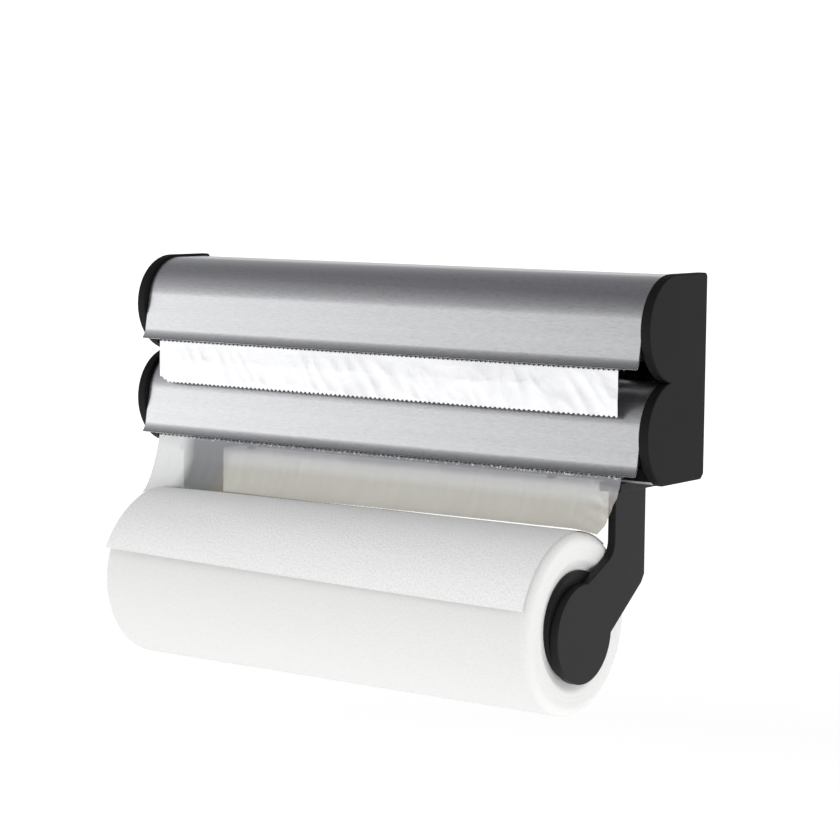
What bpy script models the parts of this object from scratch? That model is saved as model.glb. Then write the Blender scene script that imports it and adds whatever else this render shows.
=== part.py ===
"""Wall-mounted triple roll dispenser: foil above, cling film below it, kitchen roll on two arms.

Frame: origin on the wall face at the middle of the housing, +X to the viewer's right,
-Y out of the wall towards the viewer, +Z up. Metres.
"""
import math

import bmesh
import bpy
from mathutils import Matrix, Vector

# --- driving dimensions ------------------------------------------------------------------
GAP = 0.0003                 # air left between touching pieces
RUNNING_GAP = 0.00015        # radial air between a pin and its hole

HOUSING_WIDTH = 0.370        # over both end caps
HOUSING_HEIGHT = 0.116
CAP_THICKNESS = 0.006
CAP_EDGE_BEVEL = 0.0008
CAP_CORNER = 0.003           # rear corner cut at the underside
NOTCH_OVERLAP = 0.0015       # the two round fronts run into each other by this much
LOBE_CUT = 0.0025            # taken off the lower round front by the flat underside
LOBE_OFFSET = 0.033          # round front's centre in front of the wall
WALL = 0.0025                # housing wall
SHELF_DEPTH = 0.0245         # floor of the foil compartment
FLOOR_DEPTH = 0.044          # floor of the film compartment
FLOOR_DROP = 0.0045          # height of the hollow under the floor, where the arm keys run
RIB_DEPTH = 0.006            # front rib under the floor
REAR_RIB_DEPTH = 0.008
HOUSING_TOP_DROP = 0.003     # housing top edge below the cap tops
PEG_RADIUS = 0.002           # pegs that hold an end cap to the housing
PEG_LENGTH = 0.008
PEG_BLOCK = 0.008            # height of the thickened corner around a peg hole
PEG_BLOCK_DEPTH = 0.009
UPPER_PEG_DROP = 0.020       # upper peg below the cap tops
KEYHOLE_INSET = 0.055        # keyhole in from the end of the housing
KEYHOLE_HEIGHT = 0.016
KEYHOLE_HEAD_RADIUS = 0.0045
KEYHOLE_NECK_RADIUS = 0.0022
KEYHOLE_LENGTH = 0.008

SHEET_STEEL = 0.0008         # thickness of a cover
COVER_INSET = 0.0026         # cover's round front smaller than the cap's
COVER_BACKSET = 0.001        # cover centre behind the lobe centre
COVER_RAISE = 0.0012         # cover centre above the lobe centre
COVER_FLAT_END = 0.009       # rear edge of the upper cover, in front of the wall
COVER_TAIL_ANGLE = 100.0     # where the lower cover's steel starts, from its front
COVER_LEAN = 9.5             # degrees; the flat run below the round front leans out
COVER_DROP = 0.0219          # edge of the lip below the middle of the round front
LIP_RADIUS = 0.010           # the lip curls out below the flat run
LIP_ANGLE = 45.0             # degrees from upright at the edge of the lip
PIVOT_DROP = 0.0053          # hinge axis under the top of a cover
UPPER_PIVOT_OFFSET = 0.0105  # upper hinge axis in front of the wall
HINGE_ARM_THICKNESS = 0.0025
HINGE_ARM_DEPTH = 0.005
HINGE_EYE_RADIUS = 0.004
HINGE_PIN_RADIUS = 0.002
HINGE_PIN_REACH = 0.0035     # depth of a pin in its end cap

BLADE_THICKNESS = 0.0006
BLADE_HEIGHT = 0.009
BLADE_INSET = 0.0065         # blade end in from the end of the cover
TOOTH_PITCH = 0.00325
TOOTH_DEPTH = 0.0016
BLADE_PROUD = 0.0003         # tooth roots below the edge of the lip

ROLL_END_ROOM = 0.014        # from the end of a foil or film roll to its end cap
FOIL_RADIUS = 0.019
FILM_RADIUS = 0.017
TUBE_RADIUS = 0.014          # cardboard tube of a foil or film roll
TUBE_WALL = 0.0015
PLUG_FLANGE_RADIUS = 0.0125
PLUG_FLANGE = 0.0025
PLUG_SPIGOT = 0.012
AXLE_RADIUS = 0.004
AXLE_REACH = 0.003           # depth of a plug's axle in its end cap
SHEET_THICKNESS = 0.0003
SHEET_BEHIND_BLADE = 0.0006
FOIL_HANG = 0.0272           # foil below the upper cover's edge
FILM_CLEARANCE = 0.0004      # film's end above the kitchen roll's flap as it goes round
FILM_SWEEP = 0.0135          # how far that film leans out over the kitchen roll
FILM_CURVE = 1.4             # 1 leans evenly, more leans mostly near the end

RAIL_THICKNESS = 0.0012
SCREW_RADIUS = 0.0014
SCREW_HEAD_RADIUS = 0.0028
SCREW_HEAD = 0.0016
SCREW_LENGTH = 0.006
SCREW_INSET = 0.075          # rail screw in from the end of the housing

ARM_THICKNESS = 0.005
ARM_INSET = 0.027            # outer face of an arm in from the end of the housing
ARM_FRONT = 0.050
ARM_REAR = 0.0175
ARM_ELBOW = 0.0545           # below the housing, where the rear edge turns
ARM_ELBOW_CUT = 0.003
NECK_DROP = 0.039            # below the housing, where the front edge turns forwards
NECK_RADIUS = 0.012          # of that turn
DISC_RADIUS = 0.0278         # round end of an arm
DISC_FORWARD = 0.0012        # its middle in front of the kitchen roll's axis
DISC_LOWER = 0.0043          # and below it
DISC_MEETS = 96.0            # degrees; where the front edge runs into the round end
DISC_LEAVES = 186.0          # where the rear edge does
FOOT_WIDTH = 0.014
FOOT_THICKNESS = 0.005
FOOT_REAR = 0.009
FOOT_STANDS_OUT = 0.003      # foot beyond the outer face of the arm
KEY_LENGTH = 0.010
KEY_NECK = 0.006
KEY_HEAD = 0.016
KEY_HEAD_THICKNESS = 0.003
ARM_TRAVEL = 0.014
STUB_RADIUS = 0.005
STUB_LENGTH = 0.0115

PAPER_OFFSET = 0.079         # kitchen roll axis in front of the wall
PAPER_DROP = 0.0757          # and below the housing
PAPER_RADIUS = 0.0510
PAPER_TUBE_RADIUS = 0.022
PAPER_TUBE_WALL = 0.0012
HUB_FLANGE_RADIUS = 0.0303
HUB_FLANGE = 0.003
HUB_SPIGOT = 0.010
HUB_SPIGOT_WALL = 0.002
HUB_SCREW_LIP = 0.002        # head of a hub screw beyond the bore of its hub
FLAP_THICKNESS = 0.0008
FLAP_LIFT = 0.0025           # free edge of the last sheet off the roll
FLAP_START = 128.0           # degrees from the front of the roll, over its top
FLAP_END = 16.0
FLAP_CURVE = 3.0             # the lift grows with this power along the sheet

# --- places that follow from the sizes -----------------------------------------------------
top = HOUSING_HEIGHT / 2
bottom = -top
inner_half = HOUSING_WIDTH / 2 - CAP_THICKNESS          # inside of an end cap
body_half = inner_half - GAP                            # end of the housing and covers
lobe_radius = (HOUSING_HEIGHT + NOTCH_OVERLAP + LOBE_CUT) / 4
lobe_spacing = 2 * lobe_radius - NOTCH_OVERLAP
upper_z = top - lobe_radius
lower_z = upper_z - lobe_spacing
roll_y = -LOBE_OFFSET
roll_half = inner_half - ROLL_END_ROOM                  # half a foil or film roll
cover_radius = lobe_radius - COVER_INSET
cover_y = roll_y + COVER_BACKSET
upper_cover_z = upper_z + COVER_RAISE
lower_cover_z = lower_z + COVER_RAISE
upper_pivot = Vector((0, -UPPER_PIVOT_OFFSET, upper_cover_z + cover_radius - PIVOT_DROP))
lower_pivot = Vector((0, cover_y, lower_cover_z + cover_radius - PIVOT_DROP))
paper_centre = Vector((0, -PAPER_OFFSET, bottom - PAPER_DROP))
elbow_z = bottom - ARM_ELBOW
rail_top = bottom + GAP + RAIL_THICKNESS
rib_bottom = rail_top + GAP
floor_underside = rib_bottom + FLOOR_DROP
key_y = -(ARM_FRONT + FOOT_REAR) / 2
foot_top = bottom
upper_peg_z = top - UPPER_PEG_DROP
arm_outer = HOUSING_WIDTH / 2 - ARM_INSET
arm_inner = arm_outer - ARM_THICKNESS
foot_outer = arm_outer + FOOT_STANDS_OUT
foot_inner = foot_outer - FOOT_WIDTH
key_x = (foot_inner + foot_outer) / 2
hub_outer = arm_inner - GAP
hub_inner = hub_outer - HUB_FLANGE
paper_half = hub_inner - GAP
flap_reach = PAPER_RADIUS + GAP + FLAP_LIFT + FLAP_THICKNESS
film_end_z = paper_centre.z + flap_reach + FILM_CLEARANCE


# --- scene, materials and basic solids -------------------------------------------------------
def clear_scene():
    for obj in list(bpy.data.objects):
        bpy.data.objects.remove(obj)


def material(name, colour, roughness, metallic=0.0, alpha=1.0):
    mat = bpy.data.materials.new(name)
    mat.use_nodes = True
    shader = mat.node_tree.nodes["Principled BSDF"]
    shader.inputs["Base Color"].default_value = (*colour, 1.0)
    shader.inputs["Roughness"].default_value = roughness
    shader.inputs["Metallic"].default_value = metallic
    shader.inputs["Alpha"].default_value = alpha
    return mat


def finish(bm, name, mat, smooth=True):
    """Turn a bmesh into a named object with outward faces."""
    bmesh.ops.recalc_face_normals(bm, faces=bm.faces)
    mesh = bpy.data.meshes.new(name)
    bm.to_mesh(mesh)
    bm.free()
    if smooth:
        mesh.shade_smooth()
        mesh.set_sharp_from_angle(angle=math.radians(35))
    obj = bpy.data.objects.new(name, mesh)
    bpy.context.scene.collection.objects.link(obj)
    if mat:
        obj.data.materials.append(mat)
    return obj


def extrude_outline(name, outline, start, depth, axis, mat=None):
    """Close a list of 3-D points into a face and pull it `depth` along `axis` from `start`."""
    bm = bmesh.new()
    verts = [bm.verts.new(Vector(point) + Vector(axis) * start) for point in outline]
    face = bm.faces.new(verts)
    grown = bmesh.ops.extrude_face_region(bm, geom=[face])
    moved = [item for item in grown["geom"] if isinstance(item, bmesh.types.BMVert)]
    bmesh.ops.translate(bm, verts=moved, vec=Vector(axis) * depth)
    return finish(bm, name, mat)


def along_x(name, section, x_start, x_end, mat=None):
    """A section of (y, z) points drawn out along X."""
    outline = [(0, y, z) for y, z in section]
    return extrude_outline(name, outline, x_start, x_end - x_start, (1, 0, 0), mat)


def block(name, low, high, mat=None):
    section = [(low[1], low[2]), (high[1], low[2]), (high[1], high[2]), (low[1], high[2])]
    return along_x(name, section, low[0], high[0], mat)


def turned(name, profile, centre, side=1, mat=None, segments=48, closed=True):
    """Spin (x, radius) points round the X axis through `centre`; side -1 mirrors them in X."""
    bm = bmesh.new()
    verts = [bm.verts.new((side * x, 0, radius)) for x, radius in profile]
    pairs = list(zip(verts, verts[1:]))
    if closed:
        pairs.append((verts[-1], verts[0]))
    edges = [bm.edges.new(pair) for pair in pairs]
    bmesh.ops.spin(bm, geom=verts + edges, cent=(0, 0, 0), axis=(1, 0, 0),
                   angle=math.tau, steps=segments, use_duplicate=False)
    bmesh.ops.remove_doubles(bm, verts=bm.verts, dist=1e-6)
    bmesh.ops.translate(bm, verts=bm.verts, vec=Vector((0, centre[0], centre[1])))
    return finish(bm, name, mat)


def rod(name, x_start, x_end, radius, centre, side=1, mat=None, segments=20):
    profile = [(x_start, 0), (x_start, radius), (x_end, radius), (x_end, 0)]
    return turned(name, profile, centre, side, mat, segments, closed=False)


def tube(name, half_length, inner, outer, centre, mat, segments=64):
    profile = [(-half_length, inner), (-half_length, outer), (half_length, outer), (half_length, inner)]
    return turned(name, profile, centre, 1, mat, segments)


def upright(name, x, y, z_low, z_high, radius, mat=None, segments=24):
    """A round bar standing along Z."""
    ring = [(x + radius * math.cos(math.tau * i / segments),
             y + radius * math.sin(math.tau * i / segments), 0) for i in range(segments)]
    return extrude_outline(name, ring, z_low, z_high - z_low, (0, 0, 1), mat)


def combine(obj, tool, operation):
    """Join or cut with a hidden tool that stays in the file as a wire guide."""
    step = obj.modifiers.new(operation.title(), "BOOLEAN")
    step.operation = operation
    step.object = tool
    tool.hide_render = True
    tool.display_type = "WIRE"


def hang_on(pivot_name, location, pieces):
    """Parent pieces to an empty that sits on their joint axis, without moving them."""
    pivot = bpy.data.objects.new(pivot_name, None)
    pivot.location = location
    bpy.context.scene.collection.objects.link(pivot)
    for piece in pieces:
        piece.parent = pivot
        piece.matrix_parent_inverse = Matrix.Translation(-Vector(location))
    return pivot


def arc(centre, radius, start, end, steps):
    """Points (y, z) on a circle; the angle is 0 at the front and 90 at the top."""
    points = []
    for i in range(steps + 1):
        angle = math.radians(start + (end - start) * i / steps)
        points.append((centre[0] - radius * math.cos(angle), centre[1] + radius * math.sin(angle)))
    return points


# --- end caps and housing --------------------------------------------------------------------
def cap_section():
    """Flat back, flat top and bottom, and a front of two round lobes."""
    notch_angle = math.degrees(math.asin(lobe_spacing / 2 / lobe_radius))
    end_angle = math.degrees(math.asin((lower_z - bottom) / lobe_radius))
    section = [(0, bottom + CAP_CORNER)]
    section += [(0, top - CAP_CORNER / 2), (-CAP_CORNER / 2, top)]
    section += arc((roll_y, upper_z), lobe_radius, 90, -notch_angle, 24)
    section += arc((roll_y, lower_z), lobe_radius, notch_angle, -end_angle, 24)[1:]
    section += [(-CAP_CORNER, bottom)]
    return section


def peg_places():
    return [(-PEG_BLOCK_DEPTH / 2, upper_peg_z),
            (-PEG_BLOCK_DEPTH / 2, -WALL - PEG_BLOCK / 2),
            (-REAR_RIB_DEPTH / 2, floor_underside - FLOOR_DROP / 4)]


def end_cap(name, side, mat):
    cap = along_x(name, cap_section(), side * inner_half, side * HOUSING_WIDTH / 2, mat)
    edge = cap.modifiers.new("Rim", "BEVEL")
    edge.width = CAP_EDGE_BEVEL
    edge.segments = 2
    edge.limit_method = "ANGLE"
    for number, place in enumerate(peg_places()):
        peg = rod(f"{name}_peg_{number}", inner_half - PEG_LENGTH, inner_half + CAP_THICKNESS / 2,
                  PEG_RADIUS, place, side, segments=16)
        combine(cap, peg, "UNION")
    seats = [(AXLE_RADIUS, AXLE_REACH, (roll_y, upper_z)),
             (AXLE_RADIUS, AXLE_REACH, (roll_y, lower_z)),
             (HINGE_PIN_RADIUS, HINGE_PIN_REACH, (upper_pivot.y, upper_pivot.z)),
             (HINGE_PIN_RADIUS, HINGE_PIN_REACH, (lower_pivot.y, lower_pivot.z))]
    for number, (radius, depth, place) in enumerate(seats):
        hole = rod(f"{name}_seat_{number}", inner_half - CAP_THICKNESS, inner_half + depth + GAP,
                   radius + RUNNING_GAP, place, side)
        combine(cap, hole, "DIFFERENCE")
    return cap


def housing_section():
    """Back wall with the foil shelf, the film floor and two ribs for the rail."""
    housing_top = top - HOUSING_TOP_DROP
    block_top = upper_peg_z + PEG_BLOCK / 2
    block_low = upper_peg_z - PEG_BLOCK / 2
    floor_top = floor_underside + WALL
    return [(0, housing_top), (-WALL, housing_top),
            (-WALL, block_top), (-PEG_BLOCK_DEPTH, block_top),
            (-PEG_BLOCK_DEPTH, block_low), (-WALL, block_low),
            (-WALL, 0), (-SHELF_DEPTH, 0), (-SHELF_DEPTH, -WALL), (-PEG_BLOCK_DEPTH, -WALL),
            (-PEG_BLOCK_DEPTH, -WALL - PEG_BLOCK), (-WALL, -WALL - PEG_BLOCK),
            (-WALL, floor_top), (-FLOOR_DEPTH, floor_top), (-FLOOR_DEPTH, rib_bottom),
            (-FLOOR_DEPTH + RIB_DEPTH, rib_bottom), (-FLOOR_DEPTH + RIB_DEPTH, floor_underside),
            (-REAR_RIB_DEPTH, floor_underside), (-REAR_RIB_DEPTH, rib_bottom), (0, rib_bottom)]


def keyhole_outline(x):
    """Round head below a narrow neck, in the XZ plane."""
    split = math.asin(KEYHOLE_NECK_RADIUS / KEYHOLE_HEAD_RADIUS)
    points = []
    for i in range(25):
        angle = math.pi / 2 + split + (math.tau - 2 * split) * i / 24
        points.append((x + KEYHOLE_HEAD_RADIUS * math.cos(angle), 0,
                       KEYHOLE_HEIGHT + KEYHOLE_HEAD_RADIUS * math.sin(angle)))
    for i in range(9):
        angle = math.pi * i / 8
        points.append((x + KEYHOLE_NECK_RADIUS * math.cos(angle), 0,
                       KEYHOLE_HEIGHT + KEYHOLE_LENGTH + KEYHOLE_NECK_RADIUS * math.sin(angle)))
    return points


def rail_screw_places():
    front = -FLOOR_DEPTH + RIB_DEPTH / 2
    rear = -REAR_RIB_DEPTH / 2
    reach = HOUSING_WIDTH / 2 - SCREW_INSET
    return [(side * reach, y) for side in (-1, 1) for y in (front, rear)]


def back_housing(mat):
    housing = along_x("back_housing", housing_section(), -body_half, body_half, mat)
    for number, place in enumerate(peg_places()):
        for side in (-1, 1):
            hole = rod(f"peg_hole_{number}_{side}", body_half - PEG_LENGTH - GAP, HOUSING_WIDTH,
                       PEG_RADIUS + RUNNING_GAP, place, side, segments=16)
            combine(housing, hole, "DIFFERENCE")
    for number, side in enumerate((-1, 1)):
        outline = keyhole_outline(side * (HOUSING_WIDTH / 2 - KEYHOLE_INSET))
        cutter = extrude_outline(f"keyhole_cutter_{number}", outline, -2 * WALL, 4 * WALL, (0, 1, 0))
        combine(housing, cutter, "DIFFERENCE")
    for number, (x, y) in enumerate(rail_screw_places()):
        hole = upright(f"rib_hole_{number}", x, y, bottom, bottom + SCREW_LENGTH + GAP,
                       SCREW_RADIUS + RUNNING_GAP, segments=16)
        combine(housing, hole, "DIFFERENCE")
    return housing


# --- covers, blades and hinges ---------------------------------------------------------------
def round_front(centre_z, depth, flat_top):
    """Side view `depth` inside the outer skin, from the rear edge to the end of the round front."""
    centre = (cover_y, centre_z)
    if flat_top:
        return [(-COVER_FLAT_END, centre_z + cover_radius - depth)] + arc(
            centre, cover_radius - depth, 90, COVER_LEAN, 22)
    return arc(centre, cover_radius - depth, COVER_TAIL_ANGLE, COVER_LEAN, 24)


def on_flat_run(centre_z, depth, z):
    """Point (y, z) at height z on the flat run, `depth` inside the outer skin."""
    lean = math.radians(COVER_LEAN)
    start_y = cover_y - (cover_radius - depth) * math.cos(lean)
    start_z = centre_z + (cover_radius - depth) * math.sin(lean)
    return (start_y - (start_z - z) * math.tan(lean), z)


def lip_start_z(centre_z):
    """Height at which the flat run turns into the lip, on the outer skin."""
    lift = LIP_RADIUS * (math.sin(math.radians(LIP_ANGLE)) - math.sin(math.radians(COVER_LEAN)))
    return centre_z - COVER_DROP + lift


def cover_line(centre_z, depth, flat_top):
    """Side view of the whole cover `depth` inside its outer skin, from the rear edge to the lip."""
    line = round_front(centre_z, depth, flat_top)
    lean = math.radians(COVER_LEAN)
    turn_y, turn_z = on_flat_run(centre_z, 0, lip_start_z(centre_z))
    turn_y -= LIP_RADIUS * math.cos(lean)
    turn_z += LIP_RADIUS * math.sin(lean)
    for i in range(7):
        angle = math.radians(COVER_LEAN + (LIP_ANGLE - COVER_LEAN) * i / 6)
        line.append((turn_y + (LIP_RADIUS + depth) * math.cos(angle),
                     turn_z - (LIP_RADIUS + depth) * math.sin(angle)))
    return line


def cover_shell(name, centre_z, flat_top, mat):
    outer = cover_line(centre_z, 0, flat_top)
    inner = cover_line(centre_z, SHEET_STEEL, flat_top)
    return along_x(name, outer + inner[::-1], -body_half, body_half, mat)


def cutter_blade(name, centre_z, mat):
    """Flat strip behind the lip with a row of triangular teeth, drawn upright and then tilted."""
    half = body_half - BLADE_INSET
    count = int(2 * half / TOOTH_PITCH)
    width = count * TOOTH_PITCH
    outline = [(-width / 2, 0, BLADE_HEIGHT), (-width / 2, 0, 0)]
    for i in range(count):
        tooth = -width / 2 + i * TOOTH_PITCH
        outline.append((tooth + TOOTH_PITCH / 2, 0, -TOOTH_DEPTH))
        outline.append((tooth + TOOTH_PITCH, 0, 0))
    outline.append((width / 2, 0, BLADE_HEIGHT))
    blade = extrude_outline(name, outline, 0, BLADE_THICKNESS, (0, 1, 0), mat)
    root = on_flat_run(centre_z, SHEET_STEEL + GAP, centre_z - COVER_DROP - BLADE_PROUD)
    blade.data.transform(Matrix.Translation(Vector((0, *root)))
                         @ Matrix.Rotation(-math.radians(COVER_LEAN), 4, "X"))
    return blade


def hinge_arm(name, side, centre_z, flat_top, pivot, mat):
    """Plastic rib inside one end of a cover, with the eye for its hinge pin."""
    rib_end = lip_start_z(centre_z)
    outer = round_front(centre_z, SHEET_STEEL + GAP, flat_top)
    outer.append(on_flat_run(centre_z, SHEET_STEEL + GAP, rib_end))
    inner = round_front(centre_z, SHEET_STEEL + GAP + HINGE_ARM_DEPTH, flat_top)
    inner.append(on_flat_run(centre_z, SHEET_STEEL + GAP + HINGE_ARM_DEPTH, rib_end))
    x_outer = body_half - GAP
    x_inner = x_outer - HINGE_ARM_THICKNESS
    arm = along_x(name, outer + inner[::-1], side * x_inner, side * x_outer, mat)
    place = (pivot.y, pivot.z)
    eye = rod(f"{name}_eye", x_inner, x_outer, HINGE_EYE_RADIUS, place, side)
    combine(arm, eye, "UNION")
    hole = rod(f"{name}_hole", x_inner - WALL, x_outer + WALL, HINGE_PIN_RADIUS + RUNNING_GAP, place, side)
    combine(arm, hole, "DIFFERENCE")
    return arm


def hinge_pin(name, side, pivot, mat):
    x_inner = body_half - GAP - HINGE_ARM_THICKNESS - GAP
    return rod(name, x_inner, inner_half + HINGE_PIN_REACH, HINGE_PIN_RADIUS,
               (pivot.y, pivot.z), side, mat)


def cover_set(prefix, centre_z, flat_top, pivot, mats):
    pieces = [cover_shell(f"{prefix}_cover_shell", centre_z, flat_top, mats["steel"]),
              cutter_blade(f"{prefix}_cutter_blade", centre_z, mats["blade"])]
    for label, side in (("left", -1), ("right", 1)):
        pieces.append(hinge_arm(f"{prefix}_hinge_arm_{label}", side, centre_z, flat_top, pivot,
                                mats["plastic"]))
        hinge_pin(f"{prefix}_hinge_pin_{label}", side, pivot, mats["pin"])
    hang_on(f"{prefix}_cover_axis", pivot, pieces)


# --- foil and film rolls and their hanging sheets ----------------------------------------------
def end_plug(name, side, centre, mat):
    start = roll_half + GAP
    flange_end = start + PLUG_FLANGE
    spigot = TUBE_RADIUS - TUBE_WALL - RUNNING_GAP
    profile = [(start - PLUG_SPIGOT, 0), (start - PLUG_SPIGOT, spigot), (start, spigot),
               (start, PLUG_FLANGE_RADIUS), (flange_end, PLUG_FLANGE_RADIUS),
               (flange_end, AXLE_RADIUS), (inner_half + AXLE_REACH, AXLE_RADIUS),
               (inner_half + AXLE_REACH, 0)]
    return turned(name, profile, centre, side, mat, 24, closed=False)


def wrap_roll(prefix, radius, centre_z, tube_mat, wrap_mat, plug_mat):
    centre = (roll_y, centre_z)
    pieces = [tube(f"{prefix}_tube", roll_half, TUBE_RADIUS - TUBE_WALL, TUBE_RADIUS, centre,
                   tube_mat, 32),
              tube(f"{prefix}_winding", roll_half, TUBE_RADIUS + GAP, radius, centre, wrap_mat, 36),
              end_plug(f"{prefix}_plug_left", -1, centre, plug_mat),
              end_plug(f"{prefix}_plug_right", 1, centre, plug_mat)]
    hang_on(f"{prefix}_roll_axis", (0, *centre), pieces)


def blade_gap(centre_z):
    """Where a sheet passes behind the tooth roots."""
    depth = SHEET_STEEL + GAP + BLADE_THICKNESS + SHEET_BEHIND_BLADE
    return on_flat_run(centre_z, depth, centre_z - COVER_DROP - BLADE_PROUD)


def leaves_roll(radius, centre_z, target):
    """Tangent point, on the front of a roll, of the straight run to the blade."""
    dy = roll_y - target[0]
    dz = target[1] - centre_z
    angle = math.atan2(dz, dy) + math.acos(radius / math.hypot(dy, dz))
    return (roll_y - radius * math.cos(angle), centre_z + radius * math.sin(angle))


def ribbon(name, line, width, mat):
    """A thin solid of even thickness along a side-view line."""
    half = SHEET_THICKNESS / 2
    front, back = [], []
    for i, (y, z) in enumerate(line):
        y_before, z_before = line[max(i - 1, 0)]
        y_after, z_after = line[min(i + 1, len(line) - 1)]
        along = Vector((y_after - y_before, z_after - z_before)).normalized()
        front.append((y + along.y * half, z - along.x * half))
        back.append((y - along.y * half, z + along.x * half))
    return along_x(name, front + back[::-1], -width / 2, width / 2, mat)


def foil_sheet(mat):
    bend = blade_gap(upper_cover_z)
    start = leaves_roll(FOIL_RADIUS + 2 * GAP, upper_z, bend)
    line = [start, bend, (bend[0], bend[1] - FOIL_HANG / 2), (bend[0], bend[1] - FOIL_HANG)]
    return ribbon("foil_sheet", line, 2 * roll_half, mat)


def film_sheet(mat):
    bend = blade_gap(lower_cover_z)
    start = leaves_roll(FILM_RADIUS + 2 * GAP, lower_z, bend)
    line = [start, bend]
    for i in range(1, 9):
        share = i / 8
        line.append((bend[0] - FILM_SWEEP * share ** FILM_CURVE,
                     bend[1] - (bend[1] - film_end_z) * math.sin(share * math.pi / 2)))
    return ribbon("film_sheet", line, 2 * roll_half, mat)


# --- rail, arms, hubs and kitchen roll -----------------------------------------------------------
def arm_rail(mat):
    rail = block("arm_rail", (-body_half, -FLOOR_DEPTH, bottom + GAP), (body_half, -GAP, rail_top), mat)
    for label, side, travel in (("left", -1, 0), ("right", 1, ARM_TRAVEL)):
        reach = key_x + KEY_LENGTH / 2 + travel + GAP
        start = key_x - KEY_LENGTH / 2 - GAP
        slot = block(f"{label}_key_slot",
                     (min(side * start, side * reach), key_y - KEY_NECK / 2 - GAP, bottom - WALL),
                     (max(side * start, side * reach), key_y + KEY_NECK / 2 + GAP, bottom + WALL))
        combine(rail, slot, "DIFFERENCE")
    for number, (x, y) in enumerate(rail_screw_places()):
        hole = upright(f"rail_hole_{number}", x, y, bottom - WALL, bottom + WALL,
                       SCREW_RADIUS + RUNNING_GAP, segments=16)
        combine(rail, hole, "DIFFERENCE")
    return rail


def rail_screws(mat):
    for number, (x, y) in enumerate(rail_screw_places(), 1):
        shank = upright(f"rail_screw_{number}", x, y, bottom - SCREW_HEAD / 2, bottom + SCREW_LENGTH,
                        SCREW_RADIUS, mat, 12)
        head = upright(f"rail_screw_head_{number}", x, y, bottom - SCREW_HEAD, bottom,
                       SCREW_HEAD_RADIUS, None, 16)
        combine(shank, head, "UNION")


def arm_section():
    """Straight down from the foot, then bent forwards and rounded off in front of the hub."""
    foot_bottom = foot_top - FOOT_THICKNESS / 2
    centre = (paper_centre.y - DISC_FORWARD, paper_centre.z - DISC_LOWER)
    meets = arc(centre, DISC_RADIUS, DISC_MEETS, DISC_MEETS, 1)[0]
    neck_z = bottom - NECK_DROP
    turn = math.pi / 2 - math.atan2(neck_z - meets[1], -ARM_FRONT - meets[0])
    bend = (-ARM_FRONT - NECK_RADIUS, neck_z + NECK_RADIUS * math.tan(turn / 2))
    section = [(-ARM_REAR, foot_bottom), (-ARM_REAR, elbow_z),
               (-ARM_REAR - ARM_ELBOW_CUT, elbow_z - 1.5 * ARM_ELBOW_CUT)]
    section += arc(centre, DISC_RADIUS, DISC_LEAVES, 360 + DISC_MEETS, 48)
    section += arc(bend, -NECK_RADIUS, math.degrees(turn), 0, 10)
    section.append((-ARM_FRONT, foot_bottom))
    return section


def roll_arm(name, side, mat):
    arm = along_x(name, arm_section(), side * arm_inner, side * arm_outer, mat)
    centre = (paper_centre.y, paper_centre.z)
    tools = [
        rod(f"{name}_stub", arm_inner - STUB_LENGTH, arm_inner + ARM_THICKNESS / 2, STUB_RADIUS,
            centre, side),
        block(f"{name}_foot",
              (min(side * foot_inner, side * foot_outer), -ARM_FRONT, foot_top - FOOT_THICKNESS),
              (max(side * foot_inner, side * foot_outer), -FOOT_REAR, foot_top)),
    ]
    key_low = key_x - KEY_LENGTH / 2
    key_high = key_x + KEY_LENGTH / 2
    head_low = rail_top + GAP
    tools.append(block(f"{name}_key_neck",
                       (min(side * key_low, side * key_high), key_y - KEY_NECK / 2, foot_top - WALL),
                       (max(side * key_low, side * key_high), key_y + KEY_NECK / 2, head_low + WALL / 2)))
    tools.append(block(f"{name}_key_head",
                       (min(side * key_low, side * key_high), key_y - KEY_HEAD / 2, head_low),
                       (max(side * key_low, side * key_high), key_y + KEY_HEAD / 2,
                        head_low + KEY_HEAD_THICKNESS)))
    for tool in tools:
        combine(arm, tool, "UNION")
    hole = rod(f"{name}_screw_hole", arm_inner - STUB_LENGTH - WALL, arm_inner - WALL / 2,
               SCREW_RADIUS + RUNNING_GAP, centre, side, segments=16)
    combine(arm, hole, "DIFFERENCE")
    return arm


def roll_hub(name, side, mat):
    """Flange against the end of the kitchen roll and a hollow spigot inside its tube."""
    spigot = PAPER_TUBE_RADIUS - PAPER_TUBE_WALL - 2 * GAP
    bore = STUB_RADIUS + RUNNING_GAP
    face = hub_inner - HUB_FLANGE
    end = hub_inner - HUB_SPIGOT
    profile = [(hub_outer, bore), (hub_outer, HUB_FLANGE_RADIUS), (hub_inner, HUB_FLANGE_RADIUS),
               (hub_inner, spigot), (end, spigot - HUB_SPIGOT_WALL / 2), (end, spigot - HUB_SPIGOT_WALL),
               (face, spigot - HUB_SPIGOT_WALL), (face, bore)]
    return turned(name, profile, (paper_centre.y, paper_centre.z), side, mat, 48)


def hub_screw(name, side, mat):
    stub_end = arm_inner - STUB_LENGTH
    head_radius = STUB_RADIUS + HUB_SCREW_LIP
    profile = [(stub_end - GAP - SCREW_HEAD, 0), (stub_end - GAP - SCREW_HEAD, head_radius),
               (stub_end - GAP, head_radius), (stub_end - GAP, SCREW_RADIUS),
               (stub_end + SCREW_LENGTH, SCREW_RADIUS), (stub_end + SCREW_LENGTH, 0)]
    return turned(name, profile, (paper_centre.y, paper_centre.z), side, mat, 24, closed=False)


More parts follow.
